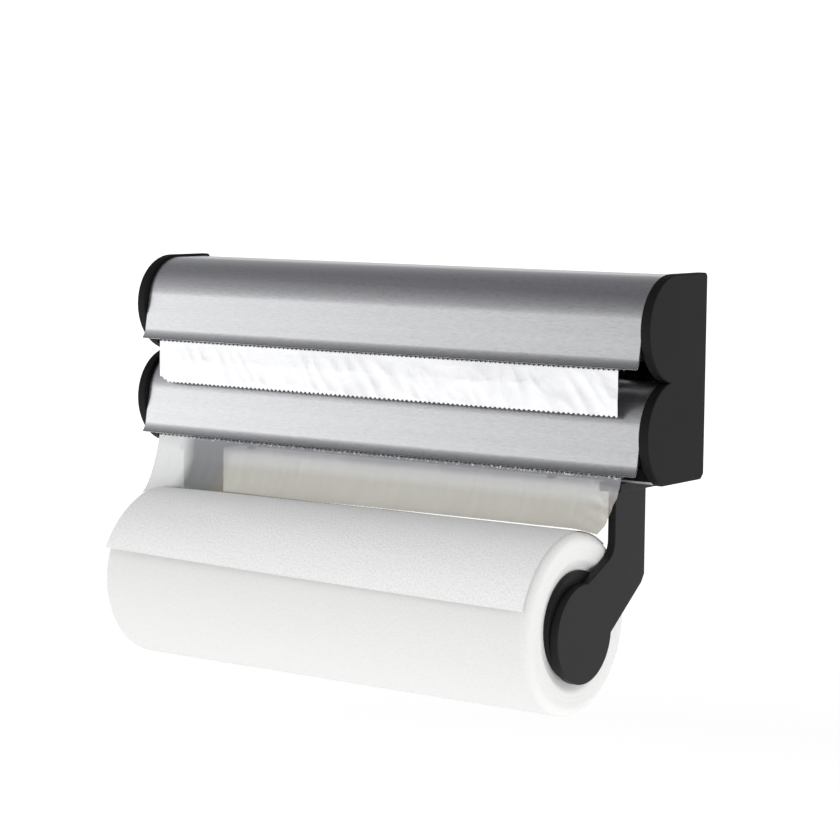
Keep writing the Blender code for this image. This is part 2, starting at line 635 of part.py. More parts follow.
def paper_flap(mat):
    """Last sheet of the kitchen roll, lying on it and lifting off towards its free edge."""
    inner, outer = [], []
    steps = 36
    for i in range(steps + 1):
        share = i / steps
        angle = math.radians(FLAP_START + (FLAP_END - FLAP_START) * share)
        radius = PAPER_RADIUS + GAP + FLAP_LIFT * share ** FLAP_CURVE
        for line, extra in ((inner, 0), (outer, FLAP_THICKNESS)):
            line.append((paper_centre.y - (radius + extra) * math.cos(angle),
                         paper_centre.z + (radius + extra) * math.sin(angle)))
    return along_x("paper_flap", outer + inner[::-1], -paper_half, paper_half, mat)


def kitchen_roll(mats):
    centre = (paper_centre.y, paper_centre.z)
    pieces = [tube("paper_tube", paper_half, PAPER_TUBE_RADIUS - PAPER_TUBE_WALL, PAPER_TUBE_RADIUS,
                   centre, mats["cardboard"], 48),
              tube("paper_winding", paper_half, PAPER_TUBE_RADIUS + GAP, PAPER_RADIUS, centre,
                   mats["paper"], 80),
              paper_flap(mats["paper"])]
    hang_on("kitchen_roll_axis", paper_centre, pieces)


def roll_arms(mats):
    roll_arm("left_arm", -1, mats["plastic"])
    hub_screw("left_hub_screw", -1, mats["pin"])
    hang_on("left_hub_axis", paper_centre, [roll_hub("left_hub", -1, mats["plastic"])])
    moving = [roll_arm("right_arm", 1, mats["plastic"]), hub_screw("right_hub_screw", 1, mats["pin"])]
    slider = hang_on("right_arm_slider", (key_x, key_y, rail_top), moving)
    hub_axis = hang_on("right_hub_axis", paper_centre, [roll_hub("right_hub", 1, mats["plastic"])])
    hub_axis.parent = slider
    hub_axis.matrix_parent_inverse = Matrix.Translation(-slider.location)


def build():
    clear_scene()
    mats = {
        "plastic": material("charcoal_plastic", (0.035, 0.035, 0.037), 0.45),
        "steel": material("brushed_steel", (0.62, 0.63, 0.64), 0.32, 1.0),
        "blade": material("blade_steel", (0.66, 0.67, 0.68), 0.28, 1.0),
        "pin": material("pin_steel", (0.60, 0.60, 0.60), 0.30, 1.0),
        "rail": material("rail_steel", (0.72, 0.73, 0.74), 0.30, 1.0),
        "plug": material("natural_plastic", (0.75, 0.75, 0.72), 0.50),
        "cardboard": material("cardboard", (0.48, 0.36, 0.24), 0.90),
        "foil": material("aluminium_foil", (0.88, 0.89, 0.90), 0.25, 1.0),
        "film": material("cling_film", (0.90, 0.92, 0.92), 0.10, 0.0, 0.35),
        "paper": material("kitchen_paper", (0.90, 0.90, 0.88), 0.95),
    }
    back_housing(mats["plastic"])
    end_cap("left_end_cap", -1, mats["plastic"])
    end_cap("right_end_cap", 1, mats["plastic"])
    cover_set("upper", upper_cover_z, True, upper_pivot, mats)
    cover_set("lower", lower_cover_z, False, lower_pivot, mats)
    wrap_roll("foil", FOIL_RADIUS, upper_z, mats["cardboard"], mats["foil"], mats["plug"])
    wrap_roll("film", FILM_RADIUS, lower_z, mats["cardboard"], mats["film"], mats["plug"])
    foil_sheet(mats["foil"])
    film_sheet(mats["film"])
    arm_rail(mats["rail"])
    rail_screws(mats["pin"])
    roll_arms(mats)
    kitchen_roll(mats)


build()
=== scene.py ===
import math

import bmesh
import bpy
import numpy as np
from mathutils import Matrix, Vector, noise


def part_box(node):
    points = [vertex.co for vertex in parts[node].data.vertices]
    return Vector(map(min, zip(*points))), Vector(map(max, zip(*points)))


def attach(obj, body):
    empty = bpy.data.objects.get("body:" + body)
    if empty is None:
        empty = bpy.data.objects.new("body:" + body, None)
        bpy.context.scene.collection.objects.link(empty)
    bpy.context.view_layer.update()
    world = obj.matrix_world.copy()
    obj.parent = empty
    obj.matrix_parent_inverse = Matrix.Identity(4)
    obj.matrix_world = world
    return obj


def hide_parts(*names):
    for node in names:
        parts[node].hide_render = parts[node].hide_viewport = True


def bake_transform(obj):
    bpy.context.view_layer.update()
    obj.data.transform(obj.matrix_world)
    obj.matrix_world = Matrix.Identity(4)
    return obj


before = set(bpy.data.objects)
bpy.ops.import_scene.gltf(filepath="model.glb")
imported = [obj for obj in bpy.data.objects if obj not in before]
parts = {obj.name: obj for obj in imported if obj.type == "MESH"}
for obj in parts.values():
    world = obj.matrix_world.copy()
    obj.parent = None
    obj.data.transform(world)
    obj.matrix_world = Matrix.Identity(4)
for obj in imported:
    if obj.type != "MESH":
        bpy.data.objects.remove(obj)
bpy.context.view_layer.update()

print("frame loaded:", len(parts), "pieces")

# ---- camera ----
shot = {
    "place": (0.86317, -1.21683, 0.11750),
    "azimuth": 35.49,
    "elevation": 5.93,
    "roll": 0.58,
    "lens": 106.3,
    "sensor": 36.0,
    "shiftX": -0.0119,
    "clipEnd": 50.0,
}


def makeCamera():
    turn, tilt, roll = (math.radians(shot[name]) for name in ("azimuth", "elevation", "roll"))
    back = Vector((math.sin(turn) * math.cos(tilt), -math.cos(turn) * math.cos(tilt), math.sin(tilt)))
    side = Vector((math.cos(turn), math.sin(turn), 0))
    rise = back.cross(side)
    right = side * math.cos(roll) + rise * math.sin(roll)
    up = rise * math.cos(roll) - side * math.sin(roll)
    data = bpy.data.cameras.new("camera")
    data.lens = shot["lens"]
    data.sensor_width = shot["sensor"]
    data.shift_x = shot["shiftX"]
    data.clip_end = shot["clipEnd"]
    camera = bpy.data.objects.new("camera", data)
    turned = Matrix((right, up, back)).transposed().to_4x4()
    camera.matrix_world = Matrix.Translation(shot["place"]) @ turned
    bpy.context.scene.collection.objects.link(camera)
    bpy.context.scene.camera = camera


makeCamera()


# ---- node helpers ----
# a value on its way through a material, so that sums can be written as sums
class Wire:
    def __init__(self, kit, socket):
        self.kit = kit
        self.socket = socket

    def sums(self, operation, *values):
        return self.kit.add("ShaderNodeMath", {"operation": operation}, dict(enumerate(values)))

    def __add__(self, other):
        return self.sums("ADD", self, other)

    def __radd__(self, other):
        return self.sums("ADD", other, self)

    def __sub__(self, other):
        return self.sums("SUBTRACT", self, other)

    def __rsub__(self, other):
        return self.sums("SUBTRACT", other, self)

    def __mul__(self, other):
        return self.sums("MULTIPLY", self, other)

    def __rmul__(self, other):
        return self.sums("MULTIPLY", other, self)

    def sine(self):
        return self.sums("SINE", self)

    def clamped(self):
        return self.sums("MINIMUM", self.sums("MAXIMUM", self, 0.0), 1.0)

    # 0 before an edge and 1 past it, or the other way round where the steepness is negative
    def past(self, edge, steepness):
        return ((self - edge) * steepness).clamped()


class NodeKit:
    def __init__(self, tree):
        self.tree = tree

    # settings go in first, then the values or links of the sockets
    def add(self, kind, settings=None, inputs=None, output=0):
        node = self.tree.nodes.new(kind)
        for name, value in (settings or {}).items():
            if name == "stops":
                ramp = node.color_ramp
                while len(ramp.elements) < len(value):
                    ramp.elements.new(0.5)
                for stop, (place, colour) in zip(ramp.elements, value):
                    stop.position = place
                    stop.color = (*colour, 1)
            else:
                setattr(node, name, value)
        for name, value in (inputs or {}).items():
            if isinstance(value, Wire):
                self.tree.links.new(value.socket, node.inputs[name])
            else:
                node.inputs[name].default_value = value
        return Wire(self, node.outputs[output])

    def place(self):
        return self.add("ShaderNodeTexCoord", output="Object")

    def stretched(self, vector, scale):
        return self.add("ShaderNodeVectorMath", {"operation": "MULTIPLY"}, {0: vector, 1: scale})

    def speckle(self, vector, scale, detail=2.0, rough=0.5):
        return self.add("ShaderNodeTexNoise", None,
                        {"Vector": vector, "Scale": scale, "Detail": detail, "Roughness": rough})

    # low and high are colours, or wires that carry one
    def blendOf(self, share, low, high):
        low, high = (end if isinstance(end, Wire) else (*end, 1) for end in (low, high))
        return self.add("ShaderNodeMix", {"data_type": "RGBA"}, {0: share, 6: low, 7: high}, 2)

    def axes(self, vector):
        return [self.add("ShaderNodeSeparateXYZ", None, {0: vector}, n) for n in range(3)]

    def bumps(self, height, distance, strength):
        return self.add("ShaderNodeBump", None,
                        {"Height": height, "Distance": distance, "Strength": strength})


def makeFinish(name, fixed, paint):
    material = bpy.data.materials.new(name)
    material.use_nodes = True
    shader = material.node_tree.nodes["Principled BSDF"]
    for socket, value in fixed.items():
        shader.inputs[socket].default_value = value
    kit = NodeKit(material.node_tree)
    for socket, wire in paint(kit).items():
        kit.tree.links.new(wire.socket, shader.inputs[socket])
    return material


# ---- finishes ----
mould = {
    "grain": 1500.0,      # spots per metre
    "cloud": 35.0,
    "spread": 0.12,       # of the roughness
    "depth": 0.00006,
}


def moulded(dark, light, roughness):
    def paint(kit):
        grain = kit.speckle(kit.place(), mould["grain"])
        cloud = kit.speckle(kit.place(), mould["cloud"], 3.0)
        return {
            "Base Color": kit.blendOf(cloud, dark, light),
            "Roughness": cloud * mould["spread"] + (roughness - mould["spread"] / 2),
            "Normal": kit.bumps(grain, mould["depth"], 0.5),
        }
    return paint


strokes = {
    "fine": (240.0, 1300.0, 1300.0),    # strokes per metre along x, y and z
    "wide": (3.0, 160.0, 160.0),
    "fineShare": 0.65,
    "contrast": 1.5,
}


def brushed(dark, light, roughness, spread, depth):
    def paint(kit):
        place = kit.place()
        fine = kit.speckle(kit.stretched(place, strokes["fine"]), 1.0, 3.0, 0.7)
        wide = kit.speckle(kit.stretched(place, strokes["wide"]), 1.0, 3.0, 0.6)
        sharp = ((fine - 0.5) * strokes["contrast"] + 0.5).clamped()
        mixed = sharp * strokes["fineShare"] + wide * (1 - strokes["fineShare"])
        return {
            "Base Color": kit.blendOf(mixed, dark, light),
            "Roughness": mixed * spread + (roughness - spread / 2),
            "Normal": kit.bumps(fine, depth, 0.6),
        }
    return paint


foilTones = {
    "dark": (0.84, 0.845, 0.855),
    "light": (0.94, 0.94, 0.945),
    "creases": 42.0,      # per metre
    "softness": 60.0,
    "grain": 420.0,
    "roughness": 0.34,
    "depth": 0.0007,
}


def foilPaint(kit):
    place = kit.place()
    crease = kit.add("ShaderNodeTexVoronoi", {"feature": "DISTANCE_TO_EDGE"},
                     {"Vector": kit.stretched(place, (1.0, 0.4, 1.6)), "Scale": foilTones["creases"]})
    soft = kit.speckle(kit.stretched(place, (1.0, 0.5, 1.4)), foilTones["softness"], 4.0, 0.55)
    fine = kit.speckle(place, foilTones["grain"], 3.0)
    ridge = (1 - crease * 9.0).clamped()
    return {
        "Base Color": kit.blendOf(soft, foilTones["dark"], foilTones["light"]),
        "Roughness": fine * 0.12 + foilTones["roughness"],
        "Normal": kit.bumps(soft + ridge * 0.12 + fine * 0.10, foilTones["depth"], 0.30),
    }


filmTones = {
    # painted light and shade in the film, from low to high: warm low down, a painted light streak, then
    # painted shadow under the cover and blade at the top
    "shadeAndLightBands": (
        (0.00, (0.41, 0.385, 0.295)), (0.46, (0.36, 0.345, 0.275)), (0.60, (0.43, 0.425, 0.40)),
        (0.72, (0.40, 0.40, 0.39)), (0.84, (0.25, 0.255, 0.275)), (1.00, (0.25, 0.255, 0.275)),
    ),
    # painted shade: greyer by the arm
    "shadeByArm": (0.26, 0.27, 0.285),
    # painted sheen: pale where it hangs single at the left
    "singleSheen": (0.74, 0.75, 0.74),
    "inside": (0.62, 0.62, 0.61),
    "specks": (0.93, 0.93, 0.92),
}

# where each tone starts along x or z, and how steeply
filmEdges = {
    "shadeAndLightBands": (-0.083, 31.75),
    "shadeByArm": (-0.104, -90.0),
    "singleSheen": (-0.136, -110.0),
    "inside": (-0.0512, 500.0),     # still behind the cover
    "teeth": (-0.0545, 900.0),
    # the film is made more opaque here, deepening the painted shadow under the blade
    "top": (-0.0605, 260.0),
}


# thin film with light and shade painted in: a painted pale sheen where it hangs single at the left,
# painted shade by the arm, a painted shadow under the cover and blade with a painted light streak below
# it, and warmer low down
def filmPaint(kit):
    place = kit.place()
    x, _, z = kit.axes(place)
    cloud = kit.speckle(place, 24.0, 3.0)
    pull = kit.speckle(kit.stretched(place, (260.0, 30.0, 30.0)), 1.0, 3.0, 0.6)
    bandsFrom, bandsScale = filmEdges["shadeAndLightBands"]
    height = (z - bandsFrom) * bandsScale + (cloud - 0.5) * 0.16
    shadeAndLightBands = kit.add("ShaderNodeValToRGB", {"stops": filmTones["shadeAndLightBands"]}, {0: height.clamped()})
    drifted = x + (cloud - 0.5) * 0.02
    shadeByArm = drifted.past(*filmEdges["shadeByArm"])
    singleSheen = drifted.past(*filmEdges["singleSheen"])
    inside = z.past(*filmEdges["inside"])
    atTeeth = z.past(*filmEdges["teeth"]) * (1 - inside)
    # more opaque near the top, deepening the painted shadow there
    top = z.past(*filmEdges["top"]) * (1 - inside)
    specks = kit.speckle(place, 900.0, 1.0).past(0.56, 14.0) * atTeeth
    # painted shade by the arm, then the painted sheen at the left
    colour = kit.blendOf(shadeByArm * 0.85, shadeAndLightBands, filmTones["shadeByArm"])
    colour = kit.blendOf(singleSheen, colour, filmTones["singleSheen"])
    colour = kit.blendOf(inside, colour, filmTones["inside"])
    cover = pull * 0.10 + cloud * 0.06 + 0.72
    return {
        "Base Color": kit.blendOf(specks, colour, filmTones["specks"]),
        "Roughness": cloud * 0.10 + 0.14,
        "Alpha": (cover + top * 0.10 + shadeByArm * 0.08 - inside * 0.15 + specks * 0.2).clamped(),
        "Normal": kit.bumps(pull, 0.0004, 0.4),
    }


emboss = {
    "dots": 560.0,        # per metre of sheet
    "grain": 820.0,
    "quilt": 24.0,
    "rings": 330.0,       # how closely the rings stand in each patch of the quilt
    "fibres": 900.0,
}


# embossed dots in curved rows, laid out by the flat sizes in the sheet's UV map
def paperPaint(dark, light, depth):
    def paint(kit):
        flat = kit.add("ShaderNodeUVMap", {"uv_map": "flat"})
        dots = kit.add("ShaderNodeTexVoronoi", {"feature": "F1"},
                       {"Vector": flat, "Scale": emboss["dots"], "Randomness": 0.7})
        quilt = kit.add("ShaderNodeTexVoronoi", {"feature": "F1"},
                        {"Vector": flat, "Scale": emboss["quilt"], "Randomness": 0.25})
        grain = (kit.speckle(flat, emboss["grain"], 2.0, 0.6) - 0.5) * 2.6 + 0.5
        fibres = kit.speckle(kit.place(), emboss["fibres"], 4.0, 0.65)
        rings = (quilt * emboss["rings"]).sine() * 0.5 + 0.5
        pits = (1 - dots * 2.4).clamped()
        height = pits * (0.35 + rings * 0.65)
        return {
            # the pits are darkened in the colour too: painted shade in the embossed dents
            "Base Color": kit.blendOf(grain.clamped() * 0.8 + pits * 0.2, light, dark),
            "Roughness": 0.98 - fibres * 0.08,
            "Normal": kit.bumps(height + fibres * 0.35, depth, 0.8),
        }
    return paint


def boardPaint(kit):
    place = kit.place()
    fibres = kit.speckle(kit.stretched(place, (60.0, 500.0, 500.0)), 1.0, 4.0)
    return {
        "Base Color": kit.blendOf(fibres, (0.33, 0.23, 0.14), (0.52, 0.40, 0.27)),
        "Roughness": 0.95 - fibres * 0.1,
        "Normal": kit.bumps(fibres, 0.0001, 0.5),
    }


# fixed values of the shader, then what changes over the surface
finishList = {
    "charcoalPlastic": ({"Specular IOR Level": 0.12},
                        moulded((0.005, 0.005, 0.0055), (0.010, 0.010, 0.0105), 0.55)),
    "armPlastic": ({"Specular IOR Level": 0.16},
                   moulded((0.010, 0.010, 0.0105), (0.016, 0.016, 0.0165), 0.50)),
    "coverSteel": ({"Metallic": 1.0},
                   brushed((0.62, 0.625, 0.64), (0.95, 0.955, 0.97), 0.30, 0.16, 0.00005)),
    "bladeSteel": ({"Metallic": 1.0},
                   brushed((0.055, 0.055, 0.058), (0.11, 0.11, 0.115), 0.40, 0.10, 0.00003)),
    "pinSteel": ({"Metallic": 1.0},
                 brushed((0.50, 0.50, 0.50), (0.66, 0.66, 0.66), 0.30, 0.10, 0.00003)),
    "railSteel": ({"Metallic": 1.0},
                  brushed((0.60, 0.61, 0.62), (0.78, 0.79, 0.80), 0.34, 0.14, 0.00004)),
    "plugPlastic": ({"Specular IOR Level": 0.4},
                    moulded((0.66, 0.66, 0.62), (0.74, 0.74, 0.70), 0.50)),
    "tubeBoard": ({}, boardPaint),
    "foil": ({"Metallic": 1.0}, foilPaint),
    "film": ({"Specular IOR Level": 0.8, "IOR": 1.48}, filmPaint),
    # one paper in two copies, with painted light and shade: the roll's copy is painted darker, the
    # flap's copy painted lighter
    "rollPaperPaintedDarker": ({"Specular IOR Level": 0.2},
                  paperPaint((0.73, 0.73, 0.718), (0.80, 0.80, 0.788), 0.00014)),
    "flapPaperPaintedLighter": ({"Specular IOR Level": 0.2},
                  paperPaint((0.80, 0.80, 0.79), (0.97, 0.97, 0.962), 0.00030)),
}
finishes = {name: makeFinish(name, fixed, paint) for name, (fixed, paint) in finishList.items()}
print("finishes made:", len(finishes))


# ---- mesh helpers ----
def addObject(name, mesh, finish):
    piece = bpy.data.objects.new(name, mesh)
    mesh.materials.clear()
    mesh.materials.append(finishes[finish])
    bpy.context.scene.collection.objects.link(piece)
    return piece


# a net of points, rows by columns, with the flat place of each point in its UV map
def netMesh(name, points, flats, closed=False):
    rows, columns = points.shape[:2]
    mesh = bpy.data.meshes.new(name)
    index = np.arange(rows * columns).reshape(rows, columns)
    ahead = np.roll(index, -1, axis=1) if closed else index[:, 1:]
    here = index if closed else index[:, :-1]
    faces = np.stack([here[:-1], here[1:], ahead[1:], ahead[:-1]], axis=-1).reshape(-1, 4)
    mesh.from_pydata(points.reshape(-1, 3).tolist(), [], faces.tolist())
    layer = mesh.uv_layers.new(name="flat")
    corners = np.array([loop.vertex_index for loop in mesh.loops])
    layer.data.foreach_set("uv", flats.reshape(-1, 2)[corners].astype(np.float32).ravel())
    mesh.shade_smooth()
    return mesh


# ---- arms and hubs ----
easing = {
    "armEdge": 0.0006,
    "hubEdge": 0.0005,
    "weld": 0.00001,         # points closer than this are one
    "flatWithin": 0.5,       # degrees
    "sharpFrom": 40.0,
}


# a plain solid again, with its sharp edges eased as a mould leaves them
def eased(node, width, body):
    mesh = parts[node].data.copy()
    solid = bmesh.new()
    solid.from_mesh(mesh)
    bmesh.ops.remove_doubles(solid, verts=solid.verts, dist=easing["weld"])
    bmesh.ops.dissolve_limit(solid, angle_limit=math.radians(easing["flatWithin"]),
                             verts=solid.verts, edges=solid.edges)
    solid.to_mesh(mesh)
    solid.free()
    mesh.shade_smooth()
    piece = addObject(node + ".eased", mesh, "armPlastic")
    ease = piece.modifiers.new("ease", "BEVEL")
    ease.width = width
    ease.segments = 2
    ease.limit_method = "ANGLE"
    ease.angle_limit = math.radians(easing["sharpFrom"])
    piece.modifiers.new("shading", "WEIGHTED_NORMAL").keep_sharp = False
    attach(piece, body)
    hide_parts(node)


def makePlastics():
    for side, armBody in (("left", "housing"), ("right", "right_arm")):
        eased(f"{side}_arm", easing["armEdge"], armBody)
        eased(f"{side}_hub", easing["hubEdge"], f"{side}_hub")


makePlastics()

# what each plain solid is made of
looks = {
    "charcoalPlastic": ("back_housing", "left_end_cap", "right_end_cap", "upper_hinge_arm_left",
                        "upper_hinge_arm_right", "lower_hinge_arm_left", "lower_hinge_arm_right"),
    "armPlastic": ("left_arm", "right_arm", "left_hub", "right_hub"),
    "coverSteel": ("upper_cover_shell", "lower_cover_shell"),
    "bladeSteel": ("upper_cutter_blade", "lower_cutter_blade"),
    "pinSteel": ("upper_hinge_pin_left", "upper_hinge_pin_right", "lower_hinge_pin_left",
                 "lower_hinge_pin_right", "left_hub_screw", "right_hub_screw", "rail_screw_1",
                 "rail_screw_2", "rail_screw_3", "rail_screw_4"),
    "railSteel": ("arm_rail",),
    "plugPlastic": ("foil_plug_left", "foil_plug_right", "film_plug_left", "film_plug_right"),
    "tubeBoard": ("foil_tube", "film_tube", "paper_tube"),
    "foil": ("foil_winding", "foil_sheet"),
    "film": ("film_winding", "film_sheet"),
    "rollPaperPaintedDarker": ("paper_winding",),
    "flapPaperPaintedLighter": ("paper_flap",),
}
for finish, names in looks.items():
    for name in names:
        parts[name].data.materials.clear()
        parts[name].data.materials.append(finishes[finish])
print("plastics eased, finishes on every solid")

# ---- steel covers ----
cover = {
    "radius": 0.0274,
    "steel": 0.0008,
    "flatEnd": 0.009,      # rear edge of the upper cover
    "tailAngle": 100.0,    # rear edge of the lower cover
    "backset": 0.032,      # middle of the round front, in front of the wall
    "lean": 9.5,           # the flat run leans out below the round front
    "drop": 0.0219,        # edge of the lip below that middle
    "lipRadius": 0.010,
    "lipAngle": 45.0,
    "hem": 0.00025,
    "sharpFrom": 50.0,     # degrees
    "frontSteps": 60,
    "flatSteps": 10,
    "lipSteps": 14,
    "stations": 13,
}


# one side of the steel from its rear edge to the lip, depth inside the outer face
def coverLine(centreZ, depth, flatTop):
    centreY = -cover["backset"]
    lean, end = math.radians(cover["lean"]), math.radians(cover["lipAngle"])
    first = 90.0 if flatTop else cover["tailAngle"]
    line = [(-cover["flatEnd"], centreZ + cover["radius"] - depth)] if flatTop else []
    reach = cover["radius"] - depth
    for angle in np.radians(np.linspace(first, cover["lean"], cover["frontSteps"])):
        line.append((centreY - reach * math.cos(angle), centreZ + reach * math.sin(angle)))
    lipZ = centreZ - cover["drop"] + cover["lipRadius"] * (math.sin(end) - math.sin(lean))
    frontY = centreY - cover["radius"] * math.cos(lean)
    frontZ = centreZ + cover["radius"] * math.sin(lean)
    turnY = frontY - (frontZ - lipZ) * math.tan(lean) - cover["lipRadius"] * math.cos(lean)
    turnZ = lipZ + cover["lipRadius"] * math.sin(lean)
    reach = cover["lipRadius"] + depth
    lip = [(turnY + reach * math.cos(angle), turnZ - reach * math.sin(angle))
           for angle in np.linspace(lean, end, cover["lipSteps"])]
    fromY, fromZ = line[-1]
    toY, toZ = lip[0]
    for share in np.linspace(0, 1, cover["flatSteps"])[1:-1]:
        line.append((fromY + (toY - fromY) * share, fromZ + (toZ - fromZ) * share))
    return line + lip


def makeCover(node, body, flatTop):
    low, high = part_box(node)
    centreZ = high.z - cover["radius"]
    outer = coverLine(centreZ, 0, flatTop)
    inner = coverLine(centreZ, cover["steel"], flatTop)
    ring = outer + inner[::-1]
    shell = bmesh.new()
    stations = np.linspace(low.x, high.x, cover["stations"])
    rings = [[shell.verts.new((x, y, z)) for y, z in ring] for x in stations]
    for first, second in zip(rings, rings[1:]):
        for i in range(len(ring)):
            j = (i + 1) % len(ring)
            face = shell.faces.new((first[i], first[j], second[j], second[i]))
            face.material_index = int(i == len(outer) - 1)   # the cut edge of the lip
    for end in (rings[0], rings[-1]):
        for i in range(len(outer) - 1):
            shell.faces.new((end[i], end[i + 1], end[-i - 2], end[-i - 1]))
    bmesh.ops.recalc_face_normals(shell, faces=shell.faces)
    mesh = bpy.data.meshes.new(node + ".steel")
    shell.to_mesh(mesh)
    shell.free()
    mesh.shade_smooth()
    piece = addObject(node + ".steel", mesh, "coverSteel")
    mesh.materials.append(finishes["bladeSteel"])   # for the cut edge and the hem
    hem = piece.modifiers.new("hem", "BEVEL")
    hem.width = cover["hem"]
    hem.segments = 3
    hem.material = 1
    hem.limit_method = "ANGLE"
    hem.angle_limit = math.radians(cover["sharpFrom"])
    piece.modifiers.new("shading", "WEIGHTED_NORMAL").keep_sharp = False
    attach(piece, body)
    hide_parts(node)


makeCover("upper_cover_shell", "upper_cover", True)
makeCover("lower_cover_shell", "lower_cover", False)
print("steel covers made")


# ---- foil hanging from the upper blade ----
def softNoise(x, y, z=0.0):
    return noise.noise(Vector((x, y, z)))


def saw(x, pitch):
    return abs((x / pitch) % 1.0 * 2 - 1)


def between(start, end, share):
    return start + (end - start) * share


foilLook = {
    "half": 0.1662,
    "shift": -0.0015,
    "lead": 0.0097,             # how far the straight run to the blade comes forwards
    "leadRows": 8,
    "solidHalf": 0.00015,       # half the plain sheet's thickness
    "solidHang": 0.0272,
    "hang": 0.0274,
    "pitch": 0.00325,
    "tooth": 0.0015,
    "perTooth": 4,
    "rows": 44,
    "wave": 0.0008,
    "crease": 0.00032,
    "loosens": 2.2,             # how soon below the blade it is free to crease
    "clip": (0.0065, 0.0036),   # lost corner at the left, width and height
}


def foilCreases(x, z):
    broad = 1 - abs(softNoise(x * 34, z * 60, 3.1)) * 2
    fine = 1 - abs(softNoise(x * 90 + z * 60, z * 45, 8.2)) * 2
    return broad + 0.6 * fine - 0.6


def makeFoil():
    low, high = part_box("foil_sheet")
    look = foilLook
    bendY = low.y + look["solidHalf"]
    bendZ = low.z + look["solidHang"]
    startY = bendY + look["lead"]
    startZ = high.z
    lead = math.hypot(startY - bendY, startZ - bendZ)
    rows, leadRows = look["rows"], look["leadRows"]
    columns = int(2 * look["half"] / look["pitch"]) * look["perTooth"] + 1
    clipWidth, clipHeight = look["clip"]
    points = np.zeros((rows, columns, 3))
    flats = np.zeros((rows, columns, 2))
    for c, place in enumerate(np.linspace(-look["half"], look["half"], columns)):
        x = place + look["shift"]
        corner = max(0.0, 1 - (place + look["half"]) / clipWidth) * clipHeight
        length = look["hang"] - look["tooth"] * saw(x, look["pitch"]) - corner
        for r in range(rows):
            if r < leadRows:
                share = r / leadRows
                y = between(startY, bendY, share)
                z = between(startZ, bendZ, share)
                flat = lead * share
                free = 0.0
            else:
                share = (r - leadRows) / (rows - 1 - leadRows)
                y = bendY
                z = bendZ - length * share
                flat = lead + length * share
                free = min(1.0, share * look["loosens"])
            swell = softNoise(x * 11, z * 14, 1.7) + 0.35
            y -= free * (look["wave"] * swell + look["crease"] * foilCreases(x, z))
            points[r, c] = (x, y, z)
            flats[r, c] = (x, flat)
    piece = addObject("foilSheet", netMesh("foilSheet", points, flats), "foil")
    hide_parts("foil_sheet")
    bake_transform(piece)


makeFoil()
print("foil hung")

# ---- film hanging from the lower blade, down on to the kitchen roll ----
filmLook = {
    "half": 0.168,
    "pitch": 0.00325,
    "tooth": 0.0017,         # height of the blade's teeth
    "perTooth": 4,
    "rows": 56,
    "lead": 0.0120,          # how far the straight run to the blade comes forwards
    "leadRows": 6,
    "solidSweep": 0.01354,   # how far the solid leans out below the blade
    "sweep": 0.0145,
    "leftSweep": 0.0215,     # at the left it lies further over the roll
    "sweepCurve": 1.4,       # 1 leans evenly, more leans mostly near the end
    "drop": 0.0026,          # beyond the solid's lower edge
    "leftDrop": 0.0033,
    "leftDraw": 0.004,       # drawn in at that corner
    "cornerSag": 0.0055,     # where it hangs past the end of the kitchen roll
    "sagFrom": 0.146,
    "rightSag": 0.45,        # of the sag at the left
    "slack": 1.15,           # its length below the blade, for each metre that it hangs down
    "cut": 0.022,            # depth of the teeth in its torn edge, as a share of that length
    "loosens": 2.5,          # how soon below the blade it is free to ripple
    "pull": 0.00025,         # upright ripples
    "crumpleFrom": 0.120,    # the right end is crumpled, lifted and curled in
    "crinkle": 0.0007,
    "lift": 0.05,
    "curl": 0.007,
}


def filmRipple(x, z):
    return softNoise(x * 120, z * 12, 5.0) + 0.5 * softNoise(x * 300, z * 30, 2.0)


def filmCrinkle(x, z, end):
    return 1 - abs(softNoise(x * 140, z * 110, 7.0)) * 2.4 + 0.5 * math.sin(z * 900 + x * 260) * end


